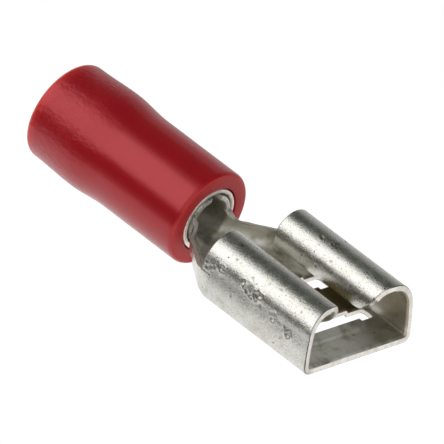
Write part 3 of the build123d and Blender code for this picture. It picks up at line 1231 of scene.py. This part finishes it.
    def slot_corner(self, x: float, y: float) -> Pair:
        """Pull a point of a slot's square outline onto its rounded corner.

        Args:
            x: Place along the axis.
            y: Distance from the middle plane.

        Returns:
            The point on the rounded outline, or the same point away from the corners.
        """
        r, near = self.slot_rounding, 1e-6
        for low, high in self.slots:
            if not (low - near <= x <= high + near and y <= self.slot_reach + near):
                continue
            if y <= self.slot_reach - r:
                return x, y
            centre = low + r if x < low + r else high - r if x > high - r else None
            if centre is None:
                return x, y
            dx, dy = x - centre, y - (self.slot_reach - r)
            size = hypot(dx, dy)
            edge = min(abs(x - low), abs(x - high), abs(y - self.slot_reach)) < near
            if size > 1e-9 and edge:
                return centre + dx / size * r, self.slot_reach - r + dy / size * r
        return x, y

    def in_slot(self, x: float, y: float) -> bool:
        """Tell whether the middle of a face lies in one of the two slots."""
        return y < self.slot_reach and any(low < x < high for low, high in self.slots)

    def tip_way(self, row: float) -> float:
        """Length of the skin at a row, shortened at the tip's swept front corner.

        Args:
            row: Place of the row at the floor.

        Returns:
            The skin's length there.
        """
        whole = self.curl_way()
        top = self.mouth - self.height * tan(radians(self.mouth_rake))
        front = top - self.falling_radius * tan(radians(self.curl_rake))
        centre = (front - self.tip_sweep, self.tip_level + self.tip_sweep)
        low, high = whole - self.tip_zone, whole
        for _ in range(24):              # halvings, which is far finer than the sheet's own steps
            way = (low + high) / 2
            y, z = self.curl_point(way)
            dx, dz = self.stretched(row, y, z) - centre[0], z - centre[1]
            beyond = dx > 0 > dz and hypot(dx, dz) > self.tip_sweep
            low, high = (low, way) if beyond else (way, high)
        return high

    def settle(self, row: float, way: float, here: float) -> Pair:
        """Draw a place of the regular grid into the tip's rounded rear or swept front corner.

        Args:
            row: Place of the row at the floor.
            way: Length along the skin.
            here: Length at which this row's skin ends.

        Returns:
            The row's place and the length after the shift.
        """
        whole = self.curl_way()
        r = self.tip_rounding
        dx, dy = r - (row - self.curl_start), r - (whole - way)
        if dx > 0 and dy > 0:
            share = max(dx, dy) / hypot(dx, dy)
            return self.curl_start + r - dx * share, whole - r + dy * share
        start = whole - self.tip_zone
        if way > whole - self.margin / 2:
            return row, here
        if way > start:
            room = (here - self.margin - start) / (self.tip_zone - self.margin)
            return row, start + (way - start) * room
        return row, way

    def low_point(self, row: float, share: float, inset: float) -> Point:
        """Point of floor, bend and lower wall, or of the barrel's lower part.

        Args:
            row: Place of the row at the floor.
            share: Share of the section's length.
            inset: Depth under the outer skin.

        Returns:
            The point on the far side.
        """
        y, z = self.trough_point(row, share, inset)
        x = self.stretched(row, y, z)
        if x > self.shoulder_end and z < self.floor_level + inset + 0.01:
            x, y = self.slot_corner(x, y)
            z += self.rise(x, y)
        return x, y + self.bulge(row, z, inset), z

    def high_point(self, row: float, way: float, inset: float) -> Point:
        """Point of upper wall and curl.

        Args:
            row: Place of the row at the floor.
            way: Length along the outer skin.
            inset: Depth under the outer skin.

        Returns:
            The point on the far side.
        """
        y, z = self.curl_point(way, inset)
        outside = y > self.curl_middle() + self.bulge_limit
        swell = self.bulge(row, z, inset) if outside else 0.0
        return self.stretched(row, y, z), y + swell, z

    def bulge(self, row: float, z: float, inset: float) -> float:
        """Swell the side walls outwards, which the bending leaves slightly convex.

        Args:
            row: Place of the row at the floor.
            z: Level.
            inset: Depth under the outer skin.

        Returns:
            How far the skin moves outwards.
        """
        low, high = self.floor_level + self.corner_radius, self.curl_top() - self.rising_radius
        if row < self.curl_start or not low < z < high or inset > self.sheet:
            return 0.0
        fade = smooth_step((row - self.curl_start) / self.bulge_fade)
        return self.wall_bulge * sin(pi * (z - low) / (high - low)) ** 2 * fade

    def ring_point(self, share: float, x: float, inset: float = 0.0) -> Pair:
        """Point of the barrel's skin between the flange's level and the seam.

        Args:
            share: Share of the way to the seam.
            x: Place along the axis.
            inset: Depth under the outer skin.

        Returns:
            Its distance from the middle plane, and its level.
        """
        opening = (x - self.barrel_end + self.seam_mouth_length) / self.seam_mouth_length
        gap = self.seam_gap + (self.seam_mouth - self.seam_gap) * min(max(opening, 0.0), 1.0)
        low = asin(self.flange_stock / self.barrel_radius)
        high = pi / 2 - asin(gap / 2 / (self.barrel_radius - inset))
        angle = low + (high - low) * share
        return (self.barrel_radius - inset) * cos(angle), (self.barrel_radius - inset) * sin(angle)

    def rows(self) -> list[float]:
        """Place the rows along the axis.

        Returns:
            The rows' places at the floor, the slots' ends and corners among them.
        """
        barrel = divide([self.barrel_start, self.barrel_end - self.seam_mouth_length,
                         self.barrel_end], self.barrel_step)
        neck = divide([self.barrel_end, self.flange_low[0], self.flange_high[0],
                       self.curl_start, self.shoulder_end], self.row_step)[1:]
        r = self.slot_rounding
        stops = [self.shoulder_end]
        for low, high in self.slots:
            stops += [low, low + r / 2, low + r, high - r, high - r / 2, high]
        stops += [self.mouth - self.margin, self.mouth]
        return barrel + neck + divide(stops, self.row_step)[1:]

    def skin(self) -> bmesh.types.BMesh:
        """Build the outer skin of the whole stamping as one sheet of quads.

        Returns:
            The open sheet in metres. A layer called twin keeps each vertex's place on the
            inner skin.
        """
        shares = self.trough_shares()
        last = len(shares) - 1
        rows = self.rows()
        wall, rising, _ = self.curl_runs()
        whole = self.curl_way()
        ways = divide([0.0, wall, wall + rising, whole - self.tip_zone, whole - self.margin, whole],
                      self.curl_step)
        ends = [self.tip_way(row) for row in rows]
        seam_shares = divide([0.0, 1.0], self.seam_share_step)
        depths = (0.0, self.sheet)
        sheet = bmesh.new()
        twin = sheet.verts.layers.float_vector.new("twin")
        for side in Side:
            made: dict[tuple[Part, int, int], Vertex] = {}
            turn = Vector((1.0, side.value, 1.0)) * MM

            def corner(part: Part, i: int, j: int) -> Vertex:
                """Give the vertex of a row and a column, made on first use.

                Args:
                    part: Part of the section. Where two parts meet, the trough has the vertex.
                    i: Number of the row.
                    j: Number of the column.

                Returns:
                    The vertex of the outer skin, which knows its twin.
                """
                joined = part is Part.RING or rows[i] >= self.shoulder_end - 1e-9
                if part is not Part.TROUGH and j == 0 and joined:
                    part, j = Part.TROUGH, last
                if (part, i, j) in made:
                    return made[part, i, j]
                if part is Part.TROUGH:
                    outer, inner = (self.low_point(rows[i], shares[j], d) for d in depths)
                elif part is Part.CURL:
                    row, way = self.settle(rows[i], ways[j], ends[i])
                    outer, inner = (self.high_point(row, way, d) for d in depths)
                else:
                    outer, inner = ((rows[i], *self.ring_point(seam_shares[j], rows[i], d))
                                    for d in depths)
                made[part, i, j] = sheet.verts.new(Vector(outer) * turn)
                made[part, i, j][twin] = Vector(inner) * turn
                return made[part, i, j]

            def patch(part: Part, i: int, j: int) -> None:
                """Add the face that starts at a row and a column."""
                corners = [corner(part, i + a, j + b) for a, b in ((0, 0), (0, 1), (1, 1), (1, 0))]
                sheet.faces.new(corners if side is Side.FAR else corners[::-1])

            for i in range(len(rows) - 1):
                x = (rows[i] + rows[i + 1]) / 2
                for j in range(last):
                    y = sum(self.trough_point(x, shares[k])[0] for k in (j, j + 1)) / 2
                    if x < self.shoulder_end or not self.in_slot(x, y):
                        patch(Part.TROUGH, i, j)
                if x > self.curl_start:
                    for j in range(len(ways) - 1):
                        patch(Part.CURL, i, j)
                if x < self.barrel_end:
                    for j in range(len(seam_shares) - 1):
                        patch(Part.RING, i, j)
        bmesh.ops.remove_doubles(sheet, verts=sheet.verts, dist=1e-7)
        bmesh.ops.delete(sheet, geom=[v for v in sheet.verts if not v.link_faces], context="VERTS")
        bmesh.ops.recalc_face_normals(sheet, faces=sheet.faces)
        if min(sheet.faces, key=lambda f: f.calc_center_median().z).normal.z > 0:
            bmesh.ops.reverse_faces(sheet, faces=sheet.faces)
        return sheet

    def press(self, sheet: bmesh.types.BMesh) -> None:
        """Press the dents and a faint waviness into the outer skin.

        Args:
            sheet: The outer skin, whose vertices move inwards only.
        """
        sheet.normal_update()
        worn = sheet.verts.layers.float.new("worn")
        grime_and_shade = sheet.verts.layers.float.new("grime_and_shade")
        for vertex in sheet.verts:
            place = vertex.co / MM
            if place.x < self.curl_start or place.z < self.floor_level + 0.1:
                continue
            wave = noise.noise(place * self.wear.wave_pitch)
            depth = self.wear.wave_depth * (0.5 + 0.5 * wave)
            # Each dent leaves a darker ring on its slope.
            darkening = 0.0
            for dent in self.dents:
                pressed, share = self.wear.dent(place, dent)
                depth += pressed
                darkening = max(darkening, share)
            place -= vertex.normal * depth
            place.y = min(max(place.y, -self.reach), self.reach)
            vertex.co = place * MM
            vertex[worn] = self.wear.wornness(place)
            vertex[grime_and_shade] = darkening

    def thicken(self, sheet: bmesh.types.BMesh) -> None:
        """Add the inner skin and the cut edges all round.

        The shear rolls the outer side over and leaves the inner side nearly sharp.

        Args:
            sheet: The outer skin, which becomes the closed stamping.
        """
        rolled_strips, burr_strips = 3, 2
        sheet.normal_update()
        twin = sheet.verts.layers.float_vector["twin"]
        outer_faces = list(sheet.faces)
        borders = [edge for edge in sheet.edges if len(edge.link_faces) == 1]
        ways: dict[Vertex, list[Vector]] = {}
        for edge in borders:
            a, b = edge.verts
            middle = edge.link_faces[0].calc_center_median()
            way = (b.co - a.co).cross(edge.link_faces[0].normal).normalized()
            way = -way if way.dot(middle - (a.co + b.co) / 2) > 0 else way
            for vertex in edge.verts:
                ways.setdefault(vertex, []).append(way)
        rooms = {}
        for vertex in ways:
            inner_edges = [e for e in vertex.link_edges if len(e.link_faces) == 2]
            rooms[vertex] = min(e.calc_length() for e in inner_edges or vertex.link_edges)
        inner = {vertex: sheet.verts.new(vertex[twin]) for vertex in list(sheet.verts)}
        chains = {vertex: self.chain(sheet, vertex, inner[vertex], ways[vertex], rooms[vertex])
                  for vertex in ways}
        for face in outer_faces:
            under = sheet.faces.new([inner[v] for v in reversed(face.verts)])
            under.material_index = Skin.INNER.value
        for edge in borders:
            first, second = (chains[v] for v in edge.verts)
            strips = len(first) - 1
            for k in range(strips):
                strip = sheet.faces.new([first[k], second[k], second[k + 1], first[k + 1]])
                if k >= strips - burr_strips:
                    strip.material_index = Skin.INNER.value
                elif k >= rolled_strips:
                    strip.material_index = Skin.CUT_EDGE.value
        bmesh.ops.recalc_face_normals(sheet, faces=sheet.faces)

    def chain(self, sheet: bmesh.types.BMesh, outer: Vertex, inner: Vertex,
              ways: list[Vector], room: float) -> list[Vertex]:
        """Run vertices down the cut edge at one border vertex and set its rounded borders.

        Args:
            sheet: Mesh that gets the vertices.
            outer: Vertex of the outer skin, drawn back by the rollover.
            inner: Its twin on the inner skin, drawn back by the burr's edge.
            ways: Directions out of the sheet at the border's edges here.
            room: Length of the shortest edge into the sheet.

        Returns:
            The vertices from the outer to the inner skin.
        """
        # Where the borders' directions disagree too much, the vertex isn't drawn back. No radius
        # takes more of the shortest edge than would leave its face in shape.
        total = sum(ways, Vector())
        agreement = total.length / len(ways)
        out = total.normalized() / max(agreement, 0.7) if agreement > 0.3 else Vector()
        roll = min(self.rollover * MM, 0.75 * room)
        burr = min(self.burr_edge * MM, 0.6 * room)
        gap, diagonal = self.edge_gap * MM, 0.29       # 1 - cos 45 degrees
        top, foot = outer.co.copy(), inner.co.copy()
        down = (foot - top).normalized()
        foot -= down * self.edge_thinning * MM
        outer.co = top - out * roll
        inner.co = foot - out * burr
        places = [top - out * roll * (1 - sin(a)) + down * roll * (1 - cos(a))
                  for a in (pi / 6, pi / 3)]
        places += [top + down * roll, top + down * (roll + gap)]
        middle = (top + foot) / 2
        rough = 0.5 + 0.5 * noise.noise(middle / MM * self.wear.ragged_pitch)
        places.append(middle - out * (self.edge_tear * MM * rough))
        places += [foot - down * (burr + gap), foot - down * burr,
                   foot - (out + down) * burr * diagonal]
        made = [sheet.verts.new(place) for place in places]
        # Painted shade: a dark line along the rolled outer border, fainter on the outer skin's last
        # vertices.
        grime_and_shade = sheet.verts.layers.float["grime_and_shade"]
        for vertex in made[:2]:
            vertex[grime_and_shade] = self.edge_shade
        outer[grime_and_shade] = max(outer[grime_and_shade], self.skin_edge_shade * self.edge_shade)
        return [outer, *made, inner]

    def build(self) -> bpy.types.Object:
        """Build, wear, thicken and dress the stamping.

        Returns:
            The finished piece.
        """
        sheet = self.skin()
        self.press(sheet)
        self.thicken(sheet)
        mesh = bpy.data.meshes.new("stamping_sheet")
        sheet.to_mesh(mesh)
        sheet.free()
        plating = self.finish.material()
        for material in (plating, self.inner_finish.material(), self.edge_finish.material()):
            mesh.materials.append(material)
        piece = run_tree("visual_" + self.node, mesh, self.tree, {
            "Density": self.pits_per_mm2 / MM ** 2,
            "Radius": self.pit_radius * MM,
            "Depth": self.pit_depth * MM,
            "Seed": self.pit_seed,
            "Finish": plating,
        })
        return hand_over(piece, self.node)


@dataclass(frozen=True)
class Card:
    """A curved card round the axis that only reflections see.

    Attributes:
        name: Name of the card.
        start: Angle in degrees where it starts, from -Y upwards round the X axis.
        end: Angle where it ends.
        colour: Its colour.
        ends: Its ends along the axis.
    """

    name: str
    start: float
    end: float
    colour: str
    ends: Pair = (-600.0, 600.0)


@dataclass(frozen=True)
class SoftBox:
    """A lamp that faces the part.

    Attributes:
        name: Name of the lamp.
        towards: Direction from the part to the lamp.
        distance: Distance from the part.
        size: Width and height.
        radiance: Brightness of its face, where 1 is white.
        gloss: Whether reflections show it.
    """

    name: str
    towards: Point
    distance: float
    size: Pair
    radiance: float
    gloss: bool = True


def seen_rays(tree: bpy.types.NodeTree) -> tuple[bpy.types.Node, bpy.types.Node]:
    """Join the rays to which the surroundings look white.

    Args:
        tree: Tree of the floor or of the world.

    Returns:
        The light path node, and the node that is 1 for those rays.
    """
    rays = add_node(tree, "ShaderNodeLightPath")
    seen = rays.outputs["Is Camera Ray"]
    for name in ("Is Glossy Ray", "Is Transmission Ray"):
        seen = add_node(tree, "ShaderNodeMath", {0: seen, 1: rays.outputs[name]},
                        operation="MAXIMUM")
    return rays, seen


@dataclass
class Studio:
    """Camera, floor, soft lamps, cards for the metal to mirror, and the white surroundings."""

    pivot: Point = (11.287, 0.0, 0.0)
    right: Point = (0.6939, 0.6675, 0.2700)
    up: Point = (-0.5276, 0.2162, 0.8216)
    back: Point = (0.4900, -0.7126, 0.5022)
    distance: float = 600.0
    lens: float = 1031.35
    shift: Pair = (-0.01481, 0.02682)
    rest_points: tuple[Pair, Pair] = ((10.0, -2.53), (20.41, -1.26))
    floor_corners: tuple[Pair, ...] = ((-16, -31), (38, -31), (38, 31), (-16, 31))
    floor_gap: float = 0.01
    fade_middle: float = 11.0
    fade_radii: Pair = (26.0, 30.0)
    card_reach: float = 420.0
    card_step: float = 6.0
    cards: tuple[Card, ...] = (
        Card("pale_card_above", 72, 83, "#B8B8B8"),
        Card("dark_card_above", 83, 138, "#5A5E58"),
        Card("grey_card_above", 138, 162, "#A4A4A4"),
        Card("pale_card_behind", 162, 215, "#D0D0D0"),
        Card("dark_card_low", -30, 11, "#565850"),
        Card("dark_card_before", 112, 172, "#303030", (40.0, 800.0)),
    )
    lamps: tuple[SoftBox, ...] = (
        SoftBox("key_softbox", (-0.49, -0.66, 0.57), 380, (420, 340), 0.89),
        SoftBox("fill_softbox", (0.6, -0.5, 0.75), 420, (300, 300), 0.5, gloss=False),
    )

    def camera(self) -> None:
        """Create the camera at the photograph's angle."""
        data = bpy.data.cameras.new("camera")
        data.sensor_width = 36.0
        data.lens = self.lens
        data.shift_x, data.shift_y = self.shift
        data.clip_start = 0.05
        camera = put("camera", data)
        turn = Matrix([Vector(row).normalized() for row in (self.right, self.up, self.back)])
        place = (Vector(self.pivot) + Vector(self.back) * self.distance) * MM
        camera.matrix_world = Matrix.Translation(place) @ turn.transposed().to_4x4()
        bpy.context.scene.camera = camera

    def floor_material(self) -> bpy.types.Material:
        """Make the pale paper that fades into the white round it and keeps the shadow.

        Returns:
            The material.
        """
        material, tree = empty_material("white_paper_sweep")
        rays, seen = seen_rays(tree)
        place = add_node(tree, "ShaderNodeTexCoord").outputs["Object"]
        x, y, _ = add_node(tree, "ShaderNodeSeparateXYZ", {0: place}).outputs
        share = add_node(tree, "ShaderNodeMath", {0: seen, 1: 0.9}, operation="MULTIPLY")
        # Painted shade in what the metal mirrors of the paper: full near the part, darker further
        # out on the near side and in front of the mouth.
        outwards = add_node(tree, "ShaderNodeMapRange",
                            {"Value": y, "From Min": -10.0 * MM, "From Max": -7.2 * MM,
                             "To Min": 0.25, "To Max": 1.2}, interpolation_type="SMOOTHSTEP")
        before = add_node(tree, "ShaderNodeMapRange",
                          {"Value": x, "From Min": 20.2 * MM, "From Max": 21.2 * MM,
                           "To Min": 1.0, "To Max": 0.12})
        beside = add_node(tree, "ShaderNodeMath", {0: y, 1: -3.0 * MM}, operation="GREATER_THAN")
        before = add_node(tree, "ShaderNodeMath", {0: before, 1: beside}, operation="MAXIMUM")
        mirrored = add_node(tree, "ShaderNodeMath", {0: outwards, 1: before}, operation="MULTIPLY")
        level = add_node(tree, "ShaderNodeMapRange",
                         {"Value": rays.outputs["Is Camera Ray"], "To Min": mirrored,
                          "To Max": 1.1})
        paper = add_node(tree, "ShaderNodeBsdfDiffuse", {"Color": linear_colour("#F4F3F1")})
        white = add_node(tree, "ShaderNodeEmission",
                         {"Color": linear_colour("#FFFFFF"), "Strength": level})
        body = add_node(tree, "ShaderNodeMixShader", {0: share, 1: paper, 2: white})
        long, wide = (radius * MM for radius in self.fade_radii)
        centred = add_node(tree, "ShaderNodeMapping",
                           {"Vector": place, "Location": (-self.fade_middle * MM / long, 0.0, 0.0),
                            "Scale": (1 / long, 1 / wide, 0.0)})
        away = add_node(tree, "ShaderNodeVectorMath", {0: centred}, operation="LENGTH")
        fade = add_node(tree, "ShaderNodeMapRange",
                        {"Value": away.outputs["Value"], "From Min": 0.55, "From Max": 1.0},
                        interpolation_type="SMOOTHSTEP")
        clear = add_node(tree, "ShaderNodeBsdfTransparent")
        faded = add_node(tree, "ShaderNodeMixShader", {0: fade, 1: body, 2: clear})
        add_node(tree, "ShaderNodeOutputMaterial", {"Surface": faded})
        return material

    def floor(self) -> None:
        """Lay the paper under the two edges on which the part rests."""
        (x0, z0), (x1, z1) = self.rest_points
        slope = (z1 - z0) / (x1 - x0)
        corners = [(x * MM, y * MM, (z0 + slope * (x - x0) - self.floor_gap) * MM)
                   for x, y in self.floor_corners]
        mesh = bpy.data.meshes.new("floor")
        mesh.from_pydata(corners, [], [(0, 1, 2, 3)])
        mesh.materials.append(self.floor_material())
        put("floor", mesh)

    def hang_card(self, card: Card) -> None:
        """Hang a card round the axis, so that the bright metal has its bands.

        Args:
            card: The card.
        """
        material, tree = empty_material(card.name)
        glow = add_node(tree, "ShaderNodeEmission",
                        {"Color": linear_colour(card.colour), "Strength": 1.0})
        add_node(tree, "ShaderNodeOutputMaterial", {"Surface": glow})
        steps = max(2, ceil((card.end - card.start) / self.card_step))
        vertices = []
        for k in range(steps + 1):
            a = radians(card.start + (card.end - card.start) * k / steps)
            across, up = -self.card_reach * cos(a) * MM, self.card_reach * sin(a) * MM
            vertices += [(x * MM, across, up) for x in card.ends]
        faces = [(2 * k, 2 * k + 1, 2 * k + 3, 2 * k + 2) for k in range(steps)]
        mesh = bpy.data.meshes.new(card.name)
        mesh.from_pydata(vertices, [], faces)
        mesh.materials.append(material)
        hung = put(card.name, mesh)
        hung.visible_camera = False
        hung.visible_diffuse = False
        hung.visible_shadow = False
        hung.visible_transmission = False

    def hang_lamp(self, box: SoftBox) -> None:
        """Hang a soft box that faces the part.

        Args:
            box: The lamp.
        """
        data = bpy.data.lights.new(box.name, "AREA")
        data.shape = "RECTANGLE"
        data.size, data.size_y = box.size[0] * MM, box.size[1] * MM
        data.energy = box.radiance * pi * data.size * data.size_y
        lamp = put(box.name, data)
        way = Vector(box.towards).normalized()
        lamp.location = (Vector(self.pivot) + way * box.distance) * MM
        lamp.rotation_mode = "QUATERNION"
        lamp.rotation_quaternion = way.to_track_quat("Z", "Y")
        lamp.visible_glossy = box.gloss

    def world(self) -> None:
        """Set white surroundings that are seen as white and light the part more gently."""
        world = bpy.data.worlds.new("white_surroundings")
        world.use_nodes = True
        tree = world.node_tree
        tree.nodes.clear()
        _, seen = seen_rays(tree)
        soft, white = (
            add_node(tree, "ShaderNodeBackground",
                     {"Color": linear_colour(colour), "Strength": strength})
            for colour, strength in (("#F2F4F6", 0.56), ("#FFFFFF", 1.0))
        )
        mixed = add_node(tree, "ShaderNodeMixShader", {0: seen, 1: soft, 2: white})
        add_node(tree, "ShaderNodeOutputWorld", {"Surface": mixed})
        bpy.context.scene.world = world

    def build(self) -> None:
        """Set up everything round the part."""
        self.camera()
        self.floor()
        for card in self.cards:
            self.hang_card(card)
        for box in self.lamps:
            self.hang_lamp(box)
        self.world()


def main() -> None:
    """Build every piece and the studio."""
    logging.basicConfig(level=logging.INFO, format="%(name)s: %(message)s")
    Studio().build()
    lathe = LatheTree().build()
    tube_tin = BrightTin("bright_tin_tube", colour="#FBF4EF", shade="#DDCFC6", roughness=0.48,
                         grain_mm=0.11, mottle_mm=0.25, grain_depth_mm=0.012, pore_share=0.35)
    pieces = [
        InsulatingSleeve("insulating_sleeve", "pvc", RedPvc("red_pvc_extruded"), lathe,
                         unevenness=0.012, seed=3.0),
        SupportSleeve("support_sleeve", "tinned_tube", tube_tin, lathe, seed=5.0),
        TerminalBody(PitTree().build()),
    ]
    for piece in pieces:
        piece.build()
    bpy.context.scene.view_settings.view_transform = "Standard"


if __name__ == "__main__":
    main()
